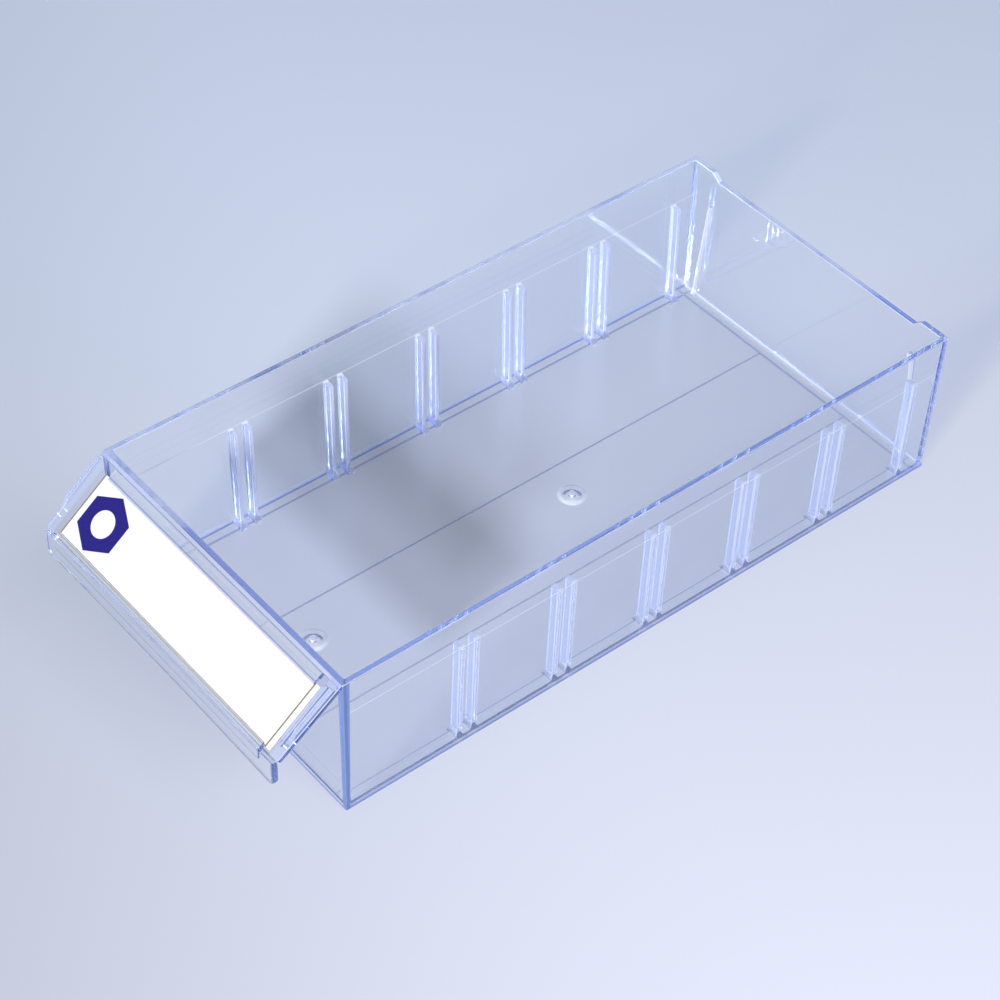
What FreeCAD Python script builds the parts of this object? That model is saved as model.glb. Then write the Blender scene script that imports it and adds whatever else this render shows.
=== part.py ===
import FreeCAD, Part
import math
import os

# A clear drawer from a small-parts cabinet, with a sloped label holder on its front.
# Lengths are in millimetres. While it is drawn, X runs across from the middle, Y runs
# from the front wall's outer face to the back, and Z runs up from the underside.

# Tub, measured outside at the rim
tub_length = 200.0
tub_width = 100.0
tub_height = 46.5
draft_inset = 0.8
outer_corner_radius = 0.4
inner_corner_radius = 0.5
rim_wall = 1.7
base_wall = 1.9
side_wall_step = 0.2
floor_thickness = 1.3
floor_rim_width = 2.8
floor_rim_height = 0.25
rim_round = 0.3

# Lowered middle of the back wall, between two full-height tabs
notch_depth = 2.1
notch_tab_width = 9.0
notch_slope_run = 2.7

# Divider ribs on the side walls, in pairs, and a single one near the back
rib_height = 34.5
rib_top_drop = 0.45
rib_proud = 3.0
rib_thickness = 1.5
rib_tip_round = 0.4
rib_pair_pitch = 4.6
rib_pair_count = 5
first_pair_from_front = 38.7
last_pair_from_back = 38.5
end_rib_from_back = 9.6
foot_height = 1.6
foot_reach = 0.9
foot_flare = 0.4

# Leaning ribs on the back wall's inner face
back_rib_height = 35.6
back_rib_proud = 1.2
back_rib_thickness = 0.9
back_rib_top_from_side = 10.3
back_rib_foot_from_side = 7.5

# Fine grooves along the floor, and the two round gate marks
groove_width = 0.5
groove_depth = 0.2
groove_x_shares = (-0.115, 0.22)
mark_y_shares = (0.135, 0.57)
mark_radius = 4.1
mark_crest_radius = 3.1
mark_crest_height = 0.55
mark_dish_radius = 1.7
mark_dish_height = 0.12
peg_radius = 1.1
peg_height = 0.9
peg_round = 0.3
gate_recess_radius = 3.0
gate_recess_depth = 0.45

# Label plate, sloping down and forward from the front wall's rim
plate_slope = 38.0
plate_length = 24.0
plate_thickness = 1.5
plate_top_inset = 0.3
plate_end_inset = 0.9
plate_corner_radius = 1.5
plate_edge_round = 0.25

# Raised flanges along the plate's sides
flange_from_rim = 2.0
flange_length = 15.5
flange_end_run = 3.0
flange_thickness = 1.2
flange_height = 1.3

# Channel that holds the label sheets: rails above and below, a stop at the right end
rail_height = 1.3
rail_nose_thickness = 0.7
rail_round = 0.2
top_rail_from_rim = 0.9
top_rail_web = 1.5
top_rail_nose = 1.8
top_rail_left_gap = 8.3
top_rail_right_gap = 5.9
low_rail_nose = 0.9
low_rail_web = 1.1
low_rail_front = 1.05
low_rail_drop = 2.4
low_rail_left_gap = 6.3
low_rail_right_gap = 6.5
stop_from_side = 2.5
stop_width = 1.2
stop_height = 1.0
stop_end_gap = 4.0

# Pull lip under the plate's lower end
lip_thickness = 1.9
lip_front = 0.6
lip_side_inset = 1.6
lip_drop = 7.7
lip_arch = 0.8
lip_corner_radius = 1.6
lip_edge_round = 0.6

# Paper card and the clear cover sheet over it, both lying in the channel
sheet_clearance = 0.05
sheet_top_gap = 1.35
sheet_low_gap = 0.25
sheet_left_overhang = 0.1
card_thickness = 0.25
card_stop_gap = 0.8
window_thickness = 0.2
window_stop_gap = 2.1

# Length by which cutting shapes run past what they cut
overrun = 5.0

# Greatest sine of the angle between edges that count as parallel
parallel_share = 1e-4

# Worked out from the sizes above
slope = math.radians(plate_slope)
half_width = tub_width / 2
half_rim_wall = rim_wall / 2
floor_top = floor_thickness + floor_rim_height
channel_room = rail_height - rail_nose_thickness
channel_top = top_rail_from_rim + top_rail_web
channel_low = plate_length - low_rail_web
stop_face = half_width - stop_from_side - stop_width


def vector(x, y, z):
    return FreeCAD.Vector(x, y, z)


def inset_at(z):
    """Inset of the tub's outer faces at height z."""
    return draft_inset * (1 - z / tub_height)


def wall_at(z):
    """Wall thickness at height z, without the side walls' step."""
    return base_wall + (rim_wall - base_wall) * z / tub_height


def side_face_at(z):
    """Distance from the middle to a side wall's inner face, below the step."""
    return half_width - inset_at(z) - wall_at(z) - side_wall_step


def back_face_at(z):
    """Y of the back wall's inner face."""
    return tub_length - inset_at(z) - wall_at(z)


def front_face_at(z):
    """Y of the front wall's inner face."""
    return inset_at(z) + wall_at(z)


def slope_point(x, down, out):
    """Point on the label plate: down its slope from the rim, and out from its face."""
    y = -down * math.cos(slope) - out * math.sin(slope)
    z = tub_height - down * math.sin(slope) + out * math.cos(slope)
    return vector(x, y, z)


def height_over_plate(point):
    """How far a point stands out from the label plate's face."""
    return (point.z - tub_height) * math.cos(slope) - point.y * math.sin(slope)


def closed_wire(points):
    return Part.makePolygon(list(points) + [points[0]])


def prism(points, direction):
    """Solid made by pushing a flat outline along a direction."""
    return Part.Face(closed_wire(points)).extrude(direction)


def rounded_rectangle(x0, x1, y0, y1, z, radius):
    """Closed wire of a rectangle with round corners, level at height z."""
    turns = ((x1, y0, -90), (x1, y1, 0), (x0, y1, 90), (x0, y0, 180))
    edges = []
    ends = []
    for x, y, start in turns:
        centre_x = x - math.copysign(radius, x - (x0 + x1) / 2)
        centre_y = y - math.copysign(radius, y - (y0 + y1) / 2)
        angles = [math.radians(start + part) for part in (0, 45, 90)]
        arc_points = [
            vector(centre_x + radius * math.cos(a), centre_y + radius * math.sin(a), z)
            for a in angles
        ]
        ends.append((arc_points[0], arc_points[2]))
        edges.append(Part.Arc(*arc_points).toShape())
    lines = [
        Part.LineSegment(ends[i][1], ends[(i + 1) % len(ends)][0]).toShape()
        for i in range(len(ends))
    ]
    ordered = [edge for pair in zip(edges, lines) for edge in pair]
    return Part.Wire(ordered)


def ruled_solid(wires):
    return Part.makeLoft(wires, True, True)


def rounded(shape, chosen, radius):
    """The shape with the chosen edges rounded."""
    edges = [edge for edge in shape.Edges if chosen(edge)]
    return shape.makeFillet(radius, edges)


def runs_along(edge, direction):
    """True for a straight edge parallel to a direction."""
    if len(edge.Vertexes) != 2:
        return False
    span = edge.Vertexes[1].Point.sub(edge.Vertexes[0].Point)
    return span.cross(direction).Length < parallel_share * span.Length * direction.Length


def mirrored_pair(shape):
    """The shape and its mirror image on the other side of the middle."""
    return [shape, shape.mirror(vector(0, 0, 0), vector(1, 0, 0))]


def tub_outer():
    def outline(z):
        inset = inset_at(z)
        return rounded_rectangle(
            inset - half_width, half_width - inset, inset, tub_length - inset,
            z, outer_corner_radius,
        )

    return ruled_solid([outline(0), outline(tub_height)])


def cavity_outline(z, side_step, margin):
    side = half_width - inset_at(z) - wall_at(z) - side_step - margin
    return rounded_rectangle(
        -side, side, front_face_at(z) + margin, back_face_at(z) - margin,
        z, inner_corner_radius,
    )


def tub_cavity():
    """Space inside the tub: a shallow floor pan, then the walls, wider above the ribs."""
    pan = ruled_solid([
        cavity_outline(floor_thickness, side_wall_step, floor_rim_width),
        cavity_outline(floor_top + floor_rim_height, side_wall_step, floor_rim_width),
    ])
    lower = ruled_solid([
        cavity_outline(floor_top, side_wall_step, 0),
        cavity_outline(rib_height, side_wall_step, 0),
    ])
    upper = ruled_solid([
        cavity_outline(rib_height, 0, 0),
        cavity_outline(tub_height + overrun, 0, 0),
    ])
    return pan.fuse([lower, upper])


def back_notch():
    """Prism that lowers the middle of the back wall's rim."""
    top = half_width - notch_tab_width
    bottom = top - notch_slope_run
    low = tub_height - notch_depth
    rise = notch_slope_run / notch_depth
    high = tub_height + overrun
    wide = top + overrun * rise
    y = tub_length - overrun
    outline = [
        vector(-bottom, y, low), vector(bottom, y, low),
        vector(wide, y, high), vector(-wide, y, high),
    ]
    return prism(outline, vector(0, 2 * overrun, 0))


def on_rim(edge):
    """True for an edge at the rim's level, or on the notch."""
    low = tub_height - notch_depth
    bottom = min(vertex.Z for vertex in edge.Vertexes)
    return bottom > low - rim_round


def empty_tub():
    tub = tub_outer().cut(tub_cavity()).cut(back_notch())
    return rounded(tub, on_rim, rim_round)


def rib_foot():
    """Flared foot of a rib on the +X side wall, centred on Y = 0."""
    top = floor_top + foot_height
    narrow = rib_thickness / 2
    root = side_face_at(floor_thickness) + half_rim_wall
    low_tip = side_face_at(floor_top) - rib_proud - foot_reach

    def section(z, tip, half):
        return closed_wire([
            vector(root, -half, z), vector(root, half, z),
            vector(tip, half, z), vector(tip, -half, z),
        ])

    return ruled_solid([
        section(floor_thickness, low_tip, narrow + foot_flare),
        section(top, side_face_at(top) - rib_proud, narrow),
    ])


def side_rib():
    """One divider rib on the +X side wall, centred on Y = 0."""
    low_face = side_face_at(floor_thickness)
    high_face = side_face_at(rib_height)
    root = high_face + half_rim_wall
    outline = [
        vector(root, -rib_thickness / 2, floor_thickness),
        vector(low_face - rib_proud, -rib_thickness / 2, floor_thickness),
        vector(high_face - rib_proud, -rib_thickness / 2, rib_height - rib_top_drop),
        vector(high_face, -rib_thickness / 2, rib_height),
        vector(root, -rib_thickness / 2, rib_height),
    ]
    blade = prism(outline, vector(0, rib_thickness, 0))
    tip_line = outline[2].sub(outline[1])
    middle = (low_face + high_face) / 2 - rib_proud / 2

    def at_tip(edge):
        return runs_along(edge, tip_line) and edge.CenterOfMass.x < middle

    return rounded(blade, at_tip, rib_tip_round).fuse(rib_foot())


def rib_places():
    """Y of every rib: pairs between the first and last pair, and one near the back."""
    last = tub_length - last_pair_from_back
    spacing = (last - first_pair_from_front) / (rib_pair_count - 1)
    places = []
    for i in range(rib_pair_count):
        middle = first_pair_from_front + i * spacing
        places += [middle - rib_pair_pitch / 2, middle + rib_pair_pitch / 2]
    return places + [tub_length - end_rib_from_back]


def side_ribs():
    rib = side_rib()
    ribs = []
    for y in rib_places():
        ribs += mirrored_pair(rib.translated(vector(0, y, 0)))
    return ribs


def back_ribs():
    """Leaning ribs on the back wall, one near each corner."""
    foot_x = half_width - back_rib_foot_from_side
    top_x = half_width - back_rib_top_from_side
    half = back_rib_thickness / 2

    def section(x, z):
        near = back_face_at(z) - back_rib_proud
        far = back_face_at(z) + half_rim_wall
        return closed_wire([
            vector(x - half, near, z), vector(x + half, near, z),
            vector(x + half, far, z), vector(x - half, far, z),
        ])

    rib = ruled_solid([section(foot_x, floor_thickness), section(top_x, back_rib_height)])
    return mirrored_pair(rib)


def floor_grooves():
    start = front_face_at(floor_top) + floor_rim_width
    run = back_face_at(floor_top) - floor_rim_width - start
    grooves = []
    for share in groove_x_shares:
        corner = vector(share * tub_width - groove_width / 2, start, floor_thickness - groove_depth)
        grooves.append(Part.makeBox(groove_width, run, groove_depth + floor_rim_height, corner))
    return grooves


def turned(profile):
    """Solid turned about the Z axis from points (radius, height)."""
    face = Part.Face(closed_wire([vector(r, 0, z) for r, z in profile]))
    return face.revolve(vector(0, 0, 0), vector(0, 0, 1), 360)


def gate_mark():
    """Dished boss with a small peg, on the floor at X = 0 and Y = 0."""
    root = floor_thickness - groove_depth
    boss = turned([
        (0, root), (mark_radius, root), (mark_radius, floor_thickness),
        (mark_crest_radius, floor_thickness + mark_crest_height),
        (mark_dish_radius, floor_thickness + mark_dish_height),
        (0, floor_thickness + mark_dish_height),
    ])
    peg = Part.makeCylinder(peg_radius, peg_height + groove_depth, vector(0, 0, root))
    top = root + peg_height + groove_depth
    peg = rounded(peg, lambda edge: edge.CenterOfMass.z > top - peg_round, peg_round)
    return boss.fuse(peg)


def gate_recess():
    """Shallow dish in the underside, below a gate mark."""
    return turned([
        (0, -overrun), (gate_recess_radius, -overrun), (gate_recess_radius, 0),
        (mark_dish_radius, gate_recess_depth), (0, gate_recess_depth),
    ])


def at_marks(shape):
    return [shape.translated(vector(0, share * tub_length, 0)) for share in mark_y_shares]


def plate_half_width(down):
    """Half the plate's width, which narrows a little towards its lower end."""
    inset = plate_top_inset + (plate_end_inset - plate_top_inset) * down / plate_length
    return half_width - inset


def label_plate():
    """Sloped plate, joined to the front wall just below the rim."""
    top = plate_half_width(0)
    low = plate_half_width(plate_length)
    outline = [
        slope_point(-top, 0, 0), slope_point(top, 0, 0),
        slope_point(low, plate_length, 0), slope_point(-low, plate_length, 0),
    ]
    inward = slope_point(0, 0, -plate_thickness).sub(slope_point(0, 0, 0))
    end = slope_point(0, plate_length, 0)

    def at_low_corner(edge):
        near_end = edge.CenterOfMass.y < end.y + plate_corner_radius
        return runs_along(edge, inward) and near_end

    def free_edge(edge):
        highest = max(vertex.Z for vertex in edge.Vertexes)
        return highest < tub_height - plate_thickness or abs(edge.CenterOfMass.x) > low

    plate = rounded(prism(outline, inward), at_low_corner, plate_corner_radius)
    plate = rounded(plate, free_edge, plate_edge_round)
    drop = plate_thickness / math.cos(slope)
    root = prism([
        vector(-top, 0, tub_height), vector(-top, half_rim_wall, tub_height),
        vector(-top, half_rim_wall, tub_height - drop), vector(-top, 0, tub_height - drop),
    ], vector(2 * top, 0, 0))
    wedge = prism([
        slope_point(-top, 0, 0), slope_point(-top, 0, -plate_thickness),
        vector(-top, 0, tub_height - drop),
    ], vector(2 * top, 0, 0))
    return plate.fuse([root, wedge])


def plate_flanges():
    """Raised flanges along the plate's sides, which slope away at their lower ends."""
    full_end = flange_from_rim + flange_length - flange_end_run

    def section(down, height):
        outer = plate_half_width(down) - plate_edge_round
        inner = outer - flange_thickness
        root = -plate_thickness / 2
        return closed_wire([
            slope_point(inner, down, root), slope_point(outer, down, root),
            slope_point(outer, down, height), slope_point(inner, down, height),
        ])

    flange = ruled_solid([
        section(flange_from_rim, flange_height), section(full_end, flange_height),
        section(flange_from_rim + flange_length, 0),
    ])

    def top_edge(edge):
        return height_over_plate(edge.CenterOfMass) > flange_height - rail_round

    return mirrored_pair(rounded(flange, top_edge, rail_round))


def along_plate(left, width, profile):
    """Bar across the plate, from outline points (down the slope, out from its face)."""
    outline = [slope_point(left, down, out) for down, out in profile]
    return prism(outline, vector(width, 0, 0))


def rail_corner(edge):
    """True for a rail's long outer edges."""
    out = height_over_plate(edge.CenterOfMass)
    return runs_along(edge, vector(1, 0, 0)) and out > rail_height - rail_round


def top_rail():
    """Hooked strip along the rim."""
    nose = channel_top + top_rail_nose
    root = -plate_thickness / 2
    width = tub_width - top_rail_left_gap - top_rail_right_gap
    rail = along_plate(top_rail_left_gap - half_width, width, [
        (top_rail_from_rim, root), (top_rail_from_rim, rail_height), (nose, rail_height),
        (nose, channel_room), (channel_top, channel_room), (channel_top, root),
    ])
    return rounded(rail, rail_corner, rail_round)


def low_rail():
    """Hooked strip along the plate's lower end, with an upright front."""
    nose = channel_low - low_rail_nose
    left = low_rail_left_gap - half_width
    end = slope_point(left, plate_length, 0)
    front = end.y - low_rail_front
    front_down = (-front - rail_height * math.sin(slope)) / math.cos(slope)
    bottom = end.z - low_rail_drop
    back = end.y + lip_thickness / 2 - lip_front
    profile = [
        slope_point(left, nose, channel_room), slope_point(left, nose, rail_height),
        slope_point(left, front_down, rail_height),
        vector(left, front, bottom), vector(left, back, bottom),
        slope_point(left, channel_low, -plate_thickness / 2),
        slope_point(left, channel_low, channel_room),
    ]
    rail = prism(profile, vector(tub_width - low_rail_left_gap - low_rail_right_gap, 0, 0))
    return rounded(rail, rail_corner, rail_round)


def end_stop():
    """Ridge across the channel's right end, which the sheets stop against."""
    end = plate_length - stop_end_gap
    root = -plate_thickness / 2
    ridge = along_plate(stop_face, stop_width, [
        (channel_top, root), (channel_top, stop_height), (end, stop_height), (end, root),
    ])

    def top_edge(edge):
        return height_over_plate(edge.CenterOfMass) > stop_height - rail_round

    return rounded(ridge, top_edge, rail_round)


def pull_lip():
    """Lip that hangs from the plate's lower end, with an arched lower edge."""
    end = slope_point(0, plate_length, 0)
    front = end.y - lip_front
    side = half_width - lip_side_inset
    top = end.z - plate_edge_round
    low = end.z - lip_drop
    left_top = vector(-side, front, top)
    right_top = vector(side, front, top)
    left_low = vector(-side, front, low - lip_arch)
    right_low = vector(side, front, low - lip_arch)
    wire = Part.Wire([
        Part.LineSegment(left_top, right_top).toShape(),
        Part.LineSegment(right_top, right_low).toShape(),
        Part.Arc(right_low, vector(0, front, low), left_low).toShape(),
        Part.LineSegment(left_low, left_top).toShape(),
    ])
    along = vector(0, lip_thickness, 0)
    lip = Part.Face(wire).extrude(along)

    def low_corner(edge):
        return runs_along(edge, along) and edge.CenterOfMass.z < low

    lip = rounded(lip, low_corner, lip_corner_radius)

    def low_edge(edge):
        return not runs_along(edge, along) and edge.BoundBox.ZMax < top - lip_edge_round

    return rounded(lip, low_edge, lip_edge_round)


def drawer_body():
    body = empty_tub().cut(floor_grooves())
    added = side_ribs() + back_ribs() + at_marks(gate_mark()) + plate_flanges()
    added += [label_plate(), top_rail(), low_rail(), end_stop(), pull_lip()]
    body = body.fuse(added).cut(at_marks(gate_recess()))
    return body.removeSplitter()


def sheet(right, low, thickness):
    """Flat sheet in the channel, its lower face at the given height."""
    left = low_rail_left_gap - sheet_left_overhang - half_width
    start = channel_top + sheet_top_gap
    end = channel_low - sheet_low_gap
    return along_plate(left, right - left, [
        (start, low), (end, low), (end, low + thickness), (start, low + thickness),
    ])


def label_card():
    return sheet(stop_face - card_stop_gap, sheet_clearance, card_thickness)


def label_window():
    low = card_thickness + 2 * sheet_clearance
    return sheet(stop_face - window_stop_gap, low, window_thickness)


def export(name, shape):
    """Write one piece, with the whole drawer centred over its resting face."""
    front = slope_point(0, plate_length, 0).y - low_rail_front
    middle = (tub_length + front) / 2
    placed = shape.translated(vector(0, -middle, 0))
    placed.exportStep("parts/" + name + ".step")
    box = placed.BoundBox
    print(name, placed.isValid(), len(placed.Solids), round(placed.Volume, 1), box)


os.makedirs("parts", exist_ok=True)
export("drawer_body", drawer_body())
export("label_card", label_card())
export("label_window", label_window())
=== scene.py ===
import math

import bmesh
import bpy
from mathutils import Matrix, Vector


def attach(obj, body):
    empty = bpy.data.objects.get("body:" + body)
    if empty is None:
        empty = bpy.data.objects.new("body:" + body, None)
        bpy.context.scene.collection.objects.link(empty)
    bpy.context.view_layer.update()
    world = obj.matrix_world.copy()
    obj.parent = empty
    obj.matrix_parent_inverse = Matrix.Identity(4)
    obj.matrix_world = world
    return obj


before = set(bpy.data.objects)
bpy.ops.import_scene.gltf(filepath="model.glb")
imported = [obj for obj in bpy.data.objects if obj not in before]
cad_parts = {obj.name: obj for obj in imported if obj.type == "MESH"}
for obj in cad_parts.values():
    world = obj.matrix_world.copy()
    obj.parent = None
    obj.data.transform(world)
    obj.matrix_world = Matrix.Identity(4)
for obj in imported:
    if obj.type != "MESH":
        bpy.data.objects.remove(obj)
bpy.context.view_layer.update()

scene = bpy.context.scene

# Lengths and places are in metres, in the part's frame.

# Camera
CAMERA_PLACE = Vector((0.383125, -0.329264, 0.507876))
CAMERA_FORWARD = Vector((-0.54135, 0.46304, -0.70181))
CAMERA_RIGHT = Vector((0.63109, 0.77531, 0.02475))
CAMERA_LENS = 96.403
CAMERA_SENSOR = 36.0
CAMERA_SHIFT_Y = 0.0095
CAMERA_CLIP_START = 0.01

# The plate that carries the label, as in the CAD part
PLATE_SLOPE = math.radians(38.0)
PLATE_TOP_Y = -0.0900188
PLATE_TOP_Z = 0.0465

# The clear cover sheet's outline on the plate, and the painted shade along its cut edges: a dark line where the
# edge shades the card
SHEET_LEFT = -0.0438
SHEET_RIGHT = 0.0442
SHEET_LOW = 0.02265
SHEET_LINE = 0.00035
SHEET_LOW_LINE = 0.00028
SHEET_SHADE_DARKNESS = 0.7

# The print on the card
PRINT_X = -0.0347
PRINT_DOWN = 0.0132
PRINT_OUT = 0.00031
PRINT_THICKNESS = 0.00001
NUT_FLATS = 0.0142
NUT_HOLE = 0.0074
NUT_STEPS = 48

# Places of the tub's walls and corners
WALL_X = 0.0471
WALL_LEAN = 0.0215
WALL_FRONT_Y = -0.0872
WALL_BACK_Y = 0.1073
OUTER_X = 0.0489
OUTER_FRONT_Y = -0.0889
OUTER_BACK_Y = 0.1089
CORNER_X = 0.0466
POST_WIDTH = 0.0009
BOTTOM_LINE_Z = 0.0008
BOTTOM_BAND_Z = 0.0017
RIM_Z = 0.04415
LEDGE_LOW_Z = 0.0344
LEDGE_HIGH_Z = 0.0346

# Places of the ribs, with their feet, caps and the roots where they meet the wall
RIB_INNER_X = 0.0430
RIB_OUTER_X = 0.0470
RIB_FRONT_Y = -0.084
RIB_BACK_Y = 0.103
RIB_LOW_Z = 0.0017
ROOT_INNER = -0.0006
ROOT_OUTER = 0.0002
CAP_OUTER_X = 0.0479
CAP_LOW_Z = 0.0335
FOOT_INNER_X = 0.042
FOOT_TOP_Z = 0.0033
BACK_RIB_INNER_X = 0.038
BACK_RIB_OUTER_X = 0.045
BACK_RIB_REACH = 0.0013
BACK_RIB_TOP_Z = 0.0358

# Places of the floor's step and grooves
PAN_X = 0.04433
PAN_BACK_Y = 0.10451
PAN_Z = 0.001
FLOOR_Z = 0.0022
GROOVE_Z = 0.00128
GROOVE_X = 0.03
CREASE_HALF = 0.0003

# Places on the label plate, measured down it, out from it and to the sides
RAIL_TOP_OUT = 0.00122
RAIL_GAP_DOWN = 0.0009
NOSE_TOP_DOWN = 0.0033
NOSE_LOW_DOWN = 0.006
NOSE_X = 0.0445
FLANGE_X = 0.0462

# Limits that tell faces apart: parts of a unit normal, and two near places
UPRIGHT = 0.3
LEVEL = 0.5
STRAIGHT = 0.9
HAIR = 0.0001

# Painted highlights on rounded edges: how far off the axes their normals stand, and how white the painted
# highlight is
EDGE_LOW = 0.02
EDGE_HIGH = 0.2
EDGE_HIGHLIGHT = 0.45
FOOT_EDGE_SHARE = 0.4

# Painted sheen on the rim's top face: a painted reflection that grows to the left and the back, broken into spots
RIM_SHEEN = 0.10
RIM_SHEEN_ACROSS = -5.0
RIM_SHEEN_ALONG = 1.5
RIM_SHEEN_SPOTS = 1.5
RIM_SHEEN_MOST = 0.45

# Colours of the clear stock and of the whitish haze that carries painted highlights and painted light, and painted
# light and shade for zones: a lavender sheen on ribs and flanges, and darker blues of painted shade on creases,
# the rail's nose, the outer faces' lower edge and the front right corner post
STOCK = (0.98, 0.99, 1.0, 1.0)
HAZE = (0.80, 0.90, 1.0, 1.0)
CREASE_SHADE = (0.45, 0.50, 0.72, 1.0)
LAVENDER_SHEEN = (0.73, 0.79, 1.0, 1.0)
BAND_BLUE_SHADE = (0.58, 0.68, 0.93, 1.0)
EDGE_BLUE_SHADE = (0.22, 0.27, 0.56, 1.0)
DEEP_BLUE_SHADE = (0.15, 0.24, 0.52, 1.0)
ZONE_PAINTED_COLOURS = {
    "ribs": LAVENDER_SHEEN, "flange": LAVENDER_SHEEN, "creases": CREASE_SHADE, "nose": CREASE_SHADE,
    "bottom_band": BAND_BLUE_SHADE, "bottom_line": EDGE_BLUE_SHADE, "post": DEEP_BLUE_SHADE,
}

# Share of clearness that each zone loses to a whitish haze: painted light that stands in for highlights and light
# caught in the plastic
ZONE_PAINTED_HAZE = {
    "ribs": 0.13, "root": 0.30, "cap": 0.5, "ledge": 0.8, "base": 0.3,
    "bottom_line": 0.55, "bottom_band": 0.35, "post": 0.5, "far_post": 0.2,
    "back_rib": 0.22, "rails": 0.10, "gap": 0.30, "flange": 0.14,
}
HAZE_ROUGHNESS = 0.45
FLOOR_ROUGHNESS = 0.18
FOOT_ROUGHNESS = 0.5

# Tint of the plastic by depth
DEPTH_TINT = (0.52, 0.66, 0.96, 1.0)
DEPTH_DENSITY = 32.0

# Light let through to the shadow, square to a wall and along it
SHADOW_SQUARE = (0.997, 0.995, 0.995, 1.0)
SHADOW_ALONG = (0.35, 0.38, 0.5, 1.0)
SHADOW_POWER = 5.0

# Cover sheet with the painted shade line along its edges, card and ink
FILM = (0.98, 0.99, 1.0, 1.0)
FILM_EDGE_SHADE = (0.20, 0.20, 0.13, 1.0)
CARD = ((0.675, 0.685, 0.715, 1.0), (0.635, 0.645, 0.675, 1.0))
CARD_GLOSS = 0.5
INK = ((0.004, 0.001, 0.13, 1.0), (0.006, 0.002, 0.15, 1.0))
INK_GLOSS = 0.05

# Table top: two cloudy tones with painted light and shade: the tone changes from a less blue right to a bluer
# left, and painted shade darkens it towards the front left
TABLE_HALF = 6.0
TABLE_DROP = 0.00005
TABLE_RIGHT = ((0.625, 0.660, 0.775, 1.0), (0.645, 0.680, 0.800, 1.0))
TABLE_LEFT = ((0.645, 0.730, 0.915, 1.0), (0.675, 0.760, 0.945, 1.0))
TABLE_SHADE = (0.40, 0.435, 0.515, 1.0)
LEFTWARD = (-1.0, 0.3)
LEFT_START, LEFT_END = -0.12, 0.22
FRONTWARD = (-0.3, -0.95)
SHADE_START, SHADE_END = -0.02, 0.30

# Studio
WORLD_COLOUR = (0.84, 0.90, 1.0, 1.0)
WORLD_STRENGTH = 0.28
BOUNCES = 48


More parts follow.
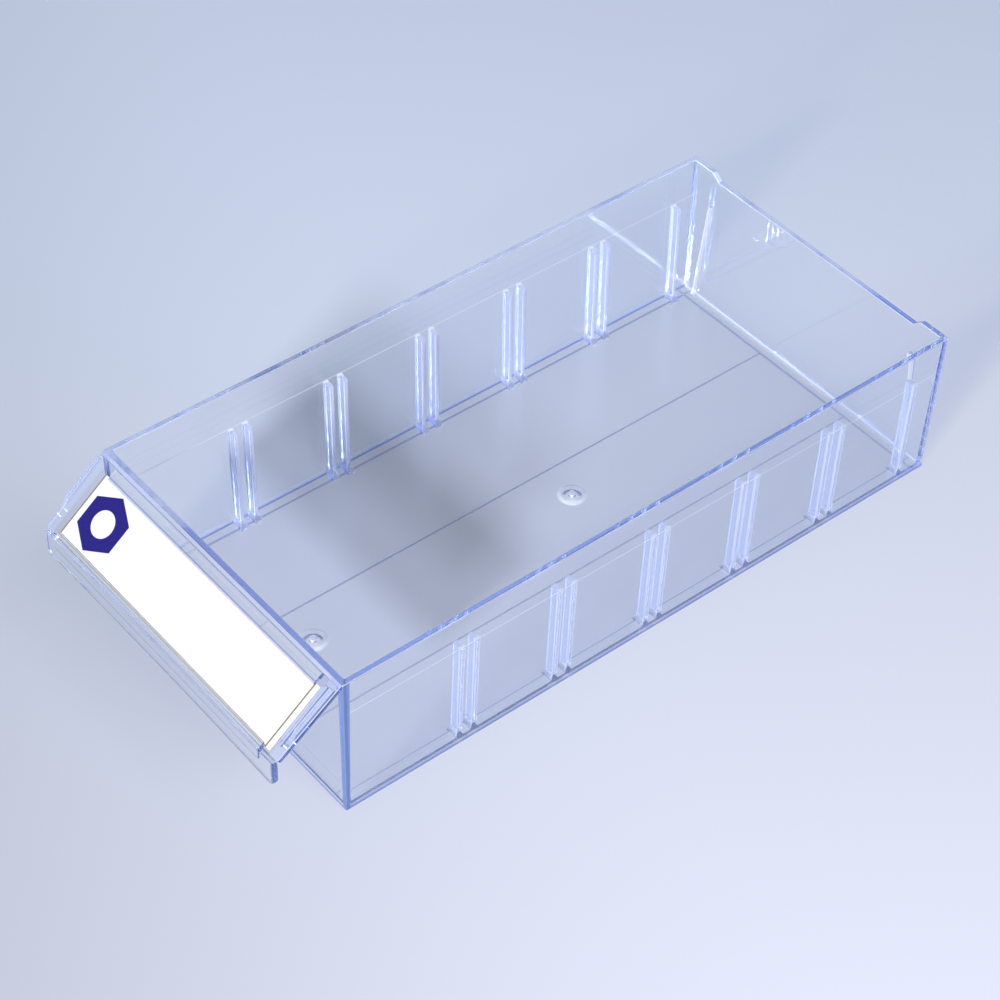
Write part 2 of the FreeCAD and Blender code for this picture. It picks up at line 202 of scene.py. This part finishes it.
class Graph:
    """A new material's node tree, with short names for the nodes that are used here."""

    def __init__(self, name):
        self.material = bpy.data.materials.new(name)
        self.material.use_nodes = True
        self.tree = self.material.node_tree
        self.tree.nodes.clear()
        self.output = self.node("ShaderNodeOutputMaterial")
        self.coords = self.node("ShaderNodeTexCoord")
        self.place = self.split(self.coords.outputs["Object"])

    def feed(self, socket, value):
        """Sets a socket to a number or colour, or links another socket to it."""
        if isinstance(value, bpy.types.NodeSocket):
            self.tree.links.new(value, socket)
        else:
            socket.default_value = value

    def node(self, kind, **values):
        """A new node with its input sockets fed by name, spaces written as underscores."""
        node = self.tree.nodes.new(kind)
        for name, value in values.items():
            self.feed(node.inputs[name.replace("_", " ")], value)
        return node

    def maths(self, operation, first, second=0.0):
        node = self.tree.nodes.new("ShaderNodeMath")
        node.operation = operation
        self.feed(node.inputs[0], first)
        self.feed(node.inputs[1], second)
        return node.outputs["Value"]

    def plus(self, first, second):
        return self.maths("ADD", first, second)

    def minus(self, first, second):
        return self.maths("SUBTRACT", first, second)

    def times(self, first, second):
        return self.maths("MULTIPLY", first, second)

    def size(self, value):
        return self.maths("ABSOLUTE", value)

    def over(self, value, limit):
        """1 where a value is greater than a limit."""
        return self.maths("GREATER_THAN", value, limit)

    def under(self, value, limit):
        """1 where a value is less than a limit."""
        return self.maths("LESS_THAN", value, limit)

    def between(self, value, low, high):
        return self.times(self.over(value, low), self.under(value, high))

    def near(self, value, middle):
        """1 within half a crease's width of a value."""
        return self.between(value, middle - CREASE_HALF, middle + CREASE_HALF)

    def opposite(self, mask):
        return self.minus(1.0, mask)

    def all_of(self, first, *masks):
        for mask in masks:
            first = self.times(first, mask)
        return first

    def any_of(self, first, *masks):
        for mask in masks:
            first = self.maths("MAXIMUM", first, mask)
        return first

    def ramp(self, value, low, high):
        """Smooth step from 0 to 1 between two values."""
        node = self.tree.nodes.new("ShaderNodeMapRange")
        node.interpolation_type = "SMOOTHSTEP"
        for name, number in (("Value", value), ("From Min", low), ("From Max", high)):
            self.feed(node.inputs[name], number)
        return node.outputs["Result"]

    def along(self, weights):
        """Distance in a level direction, from its X and Y parts."""
        return self.plus(self.times(self.place[0], weights[0]), self.times(self.place[1], weights[1]))

    def blend(self, share, first, second):
        """Colour mixed from two."""
        node = self.tree.nodes.new("ShaderNodeMix")
        node.data_type = "RGBA"
        share_socket, first_socket, second_socket = (node.inputs[i] for i in (0, 6, 7))
        self.feed(share_socket, share)
        self.feed(first_socket, first)
        self.feed(second_socket, second)
        return node.outputs[2]

    def split(self, vector):
        """X, Y and Z of a vector socket."""
        parts = self.node("ShaderNodeSeparateXYZ", Vector=vector)
        return parts.outputs["X"], parts.outputs["Y"], parts.outputs["Z"]

    def noise(self, scale, detail, roughness):
        node = self.node(
            "ShaderNodeTexNoise", Vector=self.coords.outputs["Object"],
            Scale=scale, Detail=detail, Roughness=roughness,
        )
        return node.outputs["Fac"]

    def bump(self, height, strength, distance):
        """Normal of a surface with a height."""
        node = self.node("ShaderNodeBump", Height=height, Strength=strength, Distance=distance)
        return node.outputs["Normal"]

    def finish(self, shader):
        """Joins a shader to the output, and gives the material."""
        self.feed(self.output.inputs["Surface"], shader)
        return self.material

    def finish_clear(self, clear):
        """Joins a clear shader to the output, with a light shadow in place of glass's dark one."""
        path = self.node("ShaderNodeLightPath")
        facing = self.node("ShaderNodeLayerWeight", Blend=0.5)
        steep = self.maths("POWER", facing.outputs["Facing"], SHADOW_POWER)
        passed = self.node("ShaderNodeBsdfTransparent", Color=self.blend(steep, SHADOW_SQUARE, SHADOW_ALONG))
        mix = self.tree.nodes.new("ShaderNodeMixShader")
        self.feed(mix.inputs["Fac"], self.any_of(path.outputs["Is Shadow Ray"], path.outputs["Is Diffuse Ray"]))
        self.feed(mix.inputs[1], clear)
        self.feed(mix.inputs[2], passed.outputs["BSDF"])
        return self.finish(mix.outputs["Shader"])


def off_axis(graph, normal):
    """How far a normal stands off all three axes, from 0 to about 0.4."""
    size = graph.tree.nodes.new("ShaderNodeVectorMath")
    size.operation = "ABSOLUTE"
    graph.feed(size.inputs[0], normal)
    return graph.opposite(graph.any_of(*graph.split(size.outputs["Vector"])))


def on_plate(graph, by_y, by_z):
    """A length measured down the label plate or out from it, from a point's Y and Z."""
    from_y = graph.times(graph.minus(PLATE_TOP_Y, graph.place[1]), by_y)
    from_z = graph.times(graph.minus(PLATE_TOP_Z, graph.place[2]), by_z)
    return graph.plus(from_y, from_z)


def down_plate(graph):
    return on_plate(graph, math.cos(PLATE_SLOPE), math.sin(PLATE_SLOPE))


def out_from_plate(graph):
    return on_plate(graph, math.sin(PLATE_SLOPE), -math.cos(PLATE_SLOPE))


def edge_mask(graph, normal):
    """1 on rounded edges and 0 on flat faces, square to the tub or to the label plate."""
    whole = graph.coords.outputs["Normal"]
    turn = graph.tree.nodes.new("ShaderNodeVectorRotate")
    turn.rotation_type = "X_AXIS"
    graph.feed(turn.inputs["Angle"], -PLATE_SLOPE)
    graph.feed(turn.inputs["Vector"], whole)
    sloped = off_axis(graph, turn.outputs["Vector"])
    in_tub = graph.over(graph.place[1], PLATE_TOP_Y + 2 * HAIR)
    amount = graph.maths("MINIMUM", off_axis(graph, whole), graph.plus(sloped, in_tub))
    corner = graph.all_of(
        graph.under(graph.size(normal[2]), UPRIGHT), graph.over(graph.size(graph.place[0]), CORNER_X))
    return graph.times(graph.ramp(amount, EDGE_LOW, EDGE_HIGH), graph.opposite(corner))


def rim_sheen(graph, normal):
    """Uneven painted sheen on the rim's top face: a painted reflection, stronger to the left and the back."""
    spots = graph.times(graph.minus(graph.noise(55.0, 3.0, 0.6), 0.5), RIM_SHEEN_SPOTS)
    sheen = graph.plus(graph.along((RIM_SHEEN_ACROSS, RIM_SHEEN_ALONG)), graph.plus(spots, RIM_SHEEN))
    sheen = graph.maths("MINIMUM", graph.any_of(sheen, 0.0), RIM_SHEEN_MOST)
    return graph.all_of(graph.over(normal[2], STRAIGHT), graph.over(graph.place[2], RIM_Z), sheen)


def rib_zones(graph, side, normal, level):
    """Masks of the ribs and of their roots, caps and feet."""
    x, y, z = graph.place
    inside = graph.between(y, RIB_FRONT_Y, RIB_BACK_Y)
    over_floor = graph.over(z, RIB_LOW_Z)
    lean = graph.times(z, WALL_LEAN)
    from_wall = graph.minus(graph.minus(side, WALL_X), lean)
    from_back = graph.minus(graph.minus(y, WALL_BACK_Y), lean)
    return {
        "ribs": graph.all_of(graph.between(side, RIB_INNER_X, RIB_OUTER_X), inside, over_floor),
        "root": graph.all_of(
            graph.between(from_wall, ROOT_INNER, ROOT_OUTER),
            graph.over(graph.size(normal[1]), STRAIGHT), inside, over_floor),
        "cap": graph.all_of(
            graph.between(side, RIB_INNER_X, CAP_OUTER_X),
            graph.between(z, CAP_LOW_Z, LEDGE_HIGH_Z), level, inside),
        "foot": graph.all_of(
            graph.between(z, RIB_LOW_Z, FOOT_TOP_Z), graph.between(side, FOOT_INNER_X, RIB_OUTER_X), inside),
        "back_rib": graph.all_of(
            graph.between(from_back, -BACK_RIB_REACH, -HAIR),
            graph.between(side, BACK_RIB_INNER_X, BACK_RIB_OUTER_X),
            graph.between(z, FLOOR_Z, BACK_RIB_TOP_Z)),
    }


def outside_zones(graph, side, upright):
    """Masks of the outer faces' lower edge and of the two right corners."""
    x, y, z = graph.place
    outer = graph.all_of(upright, graph.any_of(
        graph.over(side, OUTER_X), graph.over(y, OUTER_BACK_Y), graph.between(y, PLATE_TOP_Y, OUTER_FRONT_Y)))
    at_end = graph.opposite(graph.between(y, OUTER_FRONT_Y + POST_WIDTH, OUTER_BACK_Y - POST_WIDTH))
    post = graph.all_of(
        outer, graph.over(y, PLATE_TOP_Y), graph.over(side, OUTER_X - POST_WIDTH), at_end, graph.over(x, 0.0))
    return {
        "bottom_line": graph.all_of(outer, graph.under(z, BOTTOM_LINE_Z)),
        "bottom_band": graph.all_of(outer, graph.under(z, BOTTOM_BAND_Z)),
        "post": graph.all_of(post, graph.under(y, 0.0)),
        "far_post": graph.all_of(post, graph.over(y, 0.0)),
    }


def plate_zones(graph, side):
    """Masks of the label plate's rails, of the upper rail's gap and nose, and of the flanges."""
    down, out = down_plate(graph), out_from_plate(graph)
    plate = graph.under(graph.place[1], PLATE_TOP_Y)
    raised = graph.over(out, RAIL_TOP_OUT)
    off_plate = graph.over(out, -HAIR)
    return {
        "rails": graph.all_of(plate, raised),
        "gap": graph.all_of(plate, graph.under(down, RAIL_GAP_DOWN), off_plate),
        "nose": graph.all_of(graph.between(down, NOSE_TOP_DOWN, NOSE_LOW_DOWN), raised, graph.under(side, NOSE_X)),
        "flange": graph.all_of(plate, graph.over(side, FLANGE_X), off_plate),
    }


def floor_zones(graph, side, level):
    """Masks of the floor, of its creases and of the ledge above the ribs."""
    x, y, z = graph.place
    low = graph.under(z, FLOOR_Z)
    lines = graph.any_of(graph.near(side, PAN_X), graph.near(y, PAN_BACK_Y), graph.near(x, -WALL_X))
    step = graph.all_of(
        lines, graph.under(side, WALL_X + CREASE_HALF), graph.between(y, WALL_FRONT_Y, WALL_BACK_Y))
    groove = graph.all_of(graph.under(z, GROOVE_Z), graph.under(side, GROOVE_X))
    return {
        "ledge": graph.all_of(
            graph.between(z, LEDGE_LOW_Z, LEDGE_HIGH_Z), graph.between(side, WALL_X, OUTER_X), level),
        "base": graph.all_of(graph.near(y, WALL_BACK_Y), low),
        "creases": graph.all_of(graph.any_of(step, groove), low, graph.over(z, PAN_Z)),
        "floor": graph.all_of(level, low),
    }


def moulded_plastic(name):
    """Clear moulded plastic, tinted by depth, with painted highlights on rounded edges, a painted reflection on
    the rim, and painted light and shade in zones.
    """
    graph = Graph(name)
    normal = graph.split(graph.coords.outputs["Normal"])
    side = graph.size(graph.place[0])
    upright = graph.under(graph.size(normal[2]), UPRIGHT)
    level = graph.over(normal[2], LEVEL)
    zones = {
        **rib_zones(graph, side, normal, level),
        **outside_zones(graph, side, upright),
        **plate_zones(graph, side),
        **floor_zones(graph, side, level),
    }

    # Rounded edges get a whitish haze that is a painted highlight, fainter on the ribs' feet.
    feet_fainter = graph.opposite(graph.times(zones["foot"], 1.0 - FOOT_EDGE_SHARE))
    white = graph.all_of(edge_mask(graph, normal), EDGE_HIGHLIGHT, feet_fainter)
    # The zones add their whitish haze of painted light.
    hazy = (graph.times(zones[zone], share) for zone, share in ZONE_PAINTED_HAZE.items())
    # The rim's top face adds its painted reflection to the haze.
    white = graph.any_of(white, rim_sheen(graph, normal), *hazy)

    colour = graph.blend(white, STOCK, HAZE)
    # Painted light and shade by zone: a lavender sheen and darker blue shade.
    for zone, zone_colour in ZONE_PAINTED_COLOURS.items():
        colour = graph.blend(zones[zone], colour, zone_colour)
    rough = graph.any_of(
        graph.times(white, HAZE_ROUGHNESS),
        graph.times(zones["foot"], FOOT_ROUGHNESS),
        graph.times(zones["floor"], FLOOR_ROUGHNESS))
    plastic = graph.node(
        "ShaderNodeBsdfPrincipled", IOR=1.56, Base_Color=colour, Roughness=rough,
        Transmission_Weight=graph.opposite(white),
        Normal=graph.bump(graph.noise(45.0, 2.0, 0.45), 0.5, 0.00005),
    )
    depth = graph.node("ShaderNodeVolumeAbsorption", Color=DEPTH_TINT, Density=DEPTH_DENSITY)
    graph.feed(graph.output.inputs["Volume"], depth.outputs["Volume"])
    return graph.finish_clear(plastic.outputs["BSDF"])


def cover_film(name):
    """Thin clear sheet with painted shade along its left, right and lower cut edges: a dark line."""
    graph = Graph(name)
    shaded_border = graph.any_of(
        graph.over(graph.place[0], SHEET_RIGHT - SHEET_LINE),
        graph.under(graph.place[0], SHEET_LEFT + SHEET_LINE),
        graph.over(down_plate(graph), SHEET_LOW - SHEET_LOW_LINE))
    film = graph.node(
        "ShaderNodeBsdfPrincipled", Roughness=0.02, IOR=1.5,
        Base_Color=graph.blend(shaded_border, FILM, FILM_EDGE_SHADE),
        Transmission_Weight=graph.opposite(graph.times(shaded_border, SHEET_SHADE_DARKNESS)),
        Normal=graph.bump(graph.noise(60.0, 2.0, 0.5), 0.4, 0.00004),
    )
    return graph.finish_clear(film.outputs["BSDF"])


def paper(name, tones, gloss):
    """Matte card or ink on it, with faint fibres."""
    graph = Graph(name)
    fibres = graph.noise(1800.0, 5.0, 0.7)
    base = graph.node(
        "ShaderNodeBsdfPrincipled", Roughness=0.7, Specular_IOR_Level=gloss,
        Base_Color=graph.blend(fibres, *tones), Normal=graph.bump(fibres, 0.25, 0.00002),
    )
    return graph.finish(base.outputs["BSDF"])


def table_material():
    """Pale blue-grey matte table top, with painted light and shade: bluer to the left and darker towards the front
    left.
    """
    graph = Graph("table_top")
    cloud = graph.noise(3.0, 3.0, 0.5)
    # Painted light and shade: the tone shifts to the left, and painted shade darkens it towards the front left.
    painted_tint_shift = graph.ramp(graph.along(LEFTWARD), LEFT_START, LEFT_END)
    painted_shade = graph.ramp(graph.along(FRONTWARD), SHADE_START, SHADE_END)
    tone = graph.blend(painted_tint_shift, graph.blend(cloud, *TABLE_RIGHT), graph.blend(cloud, *TABLE_LEFT))
    base = graph.node(
        "ShaderNodeBsdfPrincipled", Roughness=0.6, IOR=1.4, Base_Color=graph.blend(painted_shade, tone, TABLE_SHADE))
    return graph.finish(base.outputs["BSDF"])


def dress(node, material):
    """Gives a CAD node its material in every slot."""
    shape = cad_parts[node]
    if not shape.material_slots:
        shape.data.materials.append(material)
    for slot in shape.material_slots:
        slot.material = material


def nut_mesh():
    """A thin hexagon with a round hole, lying flat."""
    mesh = bpy.data.meshes.new("nut_print")
    shape = bmesh.new()
    sixth = math.pi / 3
    rings = []
    for height in (0.0, PRINT_THICKNESS):
        ring_out, ring_in = [], []
        for i in range(NUT_STEPS):
            angle = 2 * math.pi * i / NUT_STEPS
            from_flat = (angle + sixth / 2) % sixth - sixth / 2
            for ring, reach in ((ring_out, NUT_FLATS / 2 / math.cos(from_flat)), (ring_in, NUT_HOLE / 2)):
                ring.append(shape.verts.new((reach * math.cos(angle), reach * math.sin(angle), height)))
        rings.append((ring_out, ring_in))
    (low_out, low_in), (top_out, top_in) = rings
    for i in range(NUT_STEPS):
        j = (i + 1) % NUT_STEPS
        shape.faces.new((top_in[i], top_out[i], top_out[j], top_in[j]))
        shape.faces.new((low_out[i], low_in[i], low_in[j], low_out[j]))
        shape.faces.new((low_out[i], low_out[j], top_out[j], top_out[i]))
        shape.faces.new((low_in[j], low_in[i], top_in[i], top_in[j]))
    shape.normal_update()
    shape.to_mesh(mesh)
    shape.free()
    return mesh


def new_object(name, data):
    piece = bpy.data.objects.new(name, data)
    scene.collection.objects.link(piece)
    return piece


def nut_print(ink):
    """A plain hexagon nut printed on the card."""
    mesh = nut_mesh()
    mesh.materials.append(ink)
    piece = new_object("nut_print", mesh)
    cos, sin = math.cos(PLATE_SLOPE), math.sin(PLATE_SLOPE)
    place = Vector((
        PRINT_X,
        PLATE_TOP_Y - PRINT_DOWN * cos - PRINT_OUT * sin,
        PLATE_TOP_Z - PRINT_DOWN * sin + PRINT_OUT * cos,
    ))
    piece.matrix_world = Matrix.Translation(place) @ Matrix.Rotation(PLATE_SLOPE, 4, "X")
    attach(piece, "card")


def table():
    mesh = bpy.data.meshes.new("table_top")
    corners = ((-1, -1), (1, -1), (1, 1), (-1, 1))
    mesh.from_pydata([(x * TABLE_HALF, y * TABLE_HALF, 0) for x, y in corners], [], [(0, 1, 2, 3)])
    mesh.materials.append(table_material())
    piece = new_object("table_top", mesh)
    piece.location.z = -TABLE_DROP


def panel(name, azimuth, elevation, distance, size, power, colour):
    """A soft light panel that faces the drawer. Azimuth 0 is straight in front, 90 the right side."""
    lamp = bpy.data.lights.new(name, "AREA")
    lamp.shape = "RECTANGLE"
    lamp.size, lamp.size_y = size
    lamp.energy = power
    lamp.color = colour
    piece = new_object(name, lamp)
    a, e = math.radians(azimuth), math.radians(elevation)
    away = Vector((math.sin(a) * math.cos(e), -math.cos(a) * math.cos(e), math.sin(e)))
    piece.location = away * distance
    piece.rotation_euler = away.to_track_quat("Z", "Y").to_euler()


def light():
    world = bpy.data.worlds.new("studio")
    scene.world = world
    world.use_nodes = True
    background = world.node_tree.nodes["Background"]
    background.inputs["Color"].default_value = WORLD_COLOUR
    background.inputs["Strength"].default_value = WORLD_STRENGTH
    panel("key_high", azimuth=20.0, elevation=23.5, distance=3.0, size=(0.25, 0.18), power=72.0,
          colour=(1.0, 0.98, 0.97))
    panel("key_low", azimuth=24.0, elevation=18.0, distance=3.0, size=(0.30, 0.15), power=60.0,
          colour=(1.0, 0.98, 0.97))
    panel("side", azimuth=80.0, elevation=45.0, distance=0.6, size=(0.4, 0.4), power=1.6,
          colour=(1.0, 0.99, 0.98))


def set_camera():
    """Camera at the photograph's viewing angle."""
    data = bpy.data.cameras.new("camera")
    data.sensor_width = CAMERA_SENSOR
    data.lens = CAMERA_LENS
    data.shift_y = CAMERA_SHIFT_Y
    data.clip_start = CAMERA_CLIP_START
    camera = new_object("camera", data)
    up = CAMERA_RIGHT.cross(CAMERA_FORWARD)
    axes = Matrix((CAMERA_RIGHT, up, -CAMERA_FORWARD)).transposed().to_4x4()
    camera.matrix_world = Matrix.Translation(CAMERA_PLACE) @ axes
    scene.camera = camera


dress("drawer_body", moulded_plastic("clear_blue_plastic"))
dress("label_window", cover_film("clear_film"))
dress("label_card", paper("label_card", CARD, CARD_GLOSS))
nut_print(paper("printed_ink", INK, INK_GLOSS))
table()
light()
set_camera()

scene.view_settings.view_transform = "Standard"
scene.cycles.max_bounces = BOUNCES
scene.cycles.transmission_bounces = BOUNCES
scene.cycles.glossy_bounces = BOUNCES
scene.cycles.transparent_max_bounces = BOUNCES
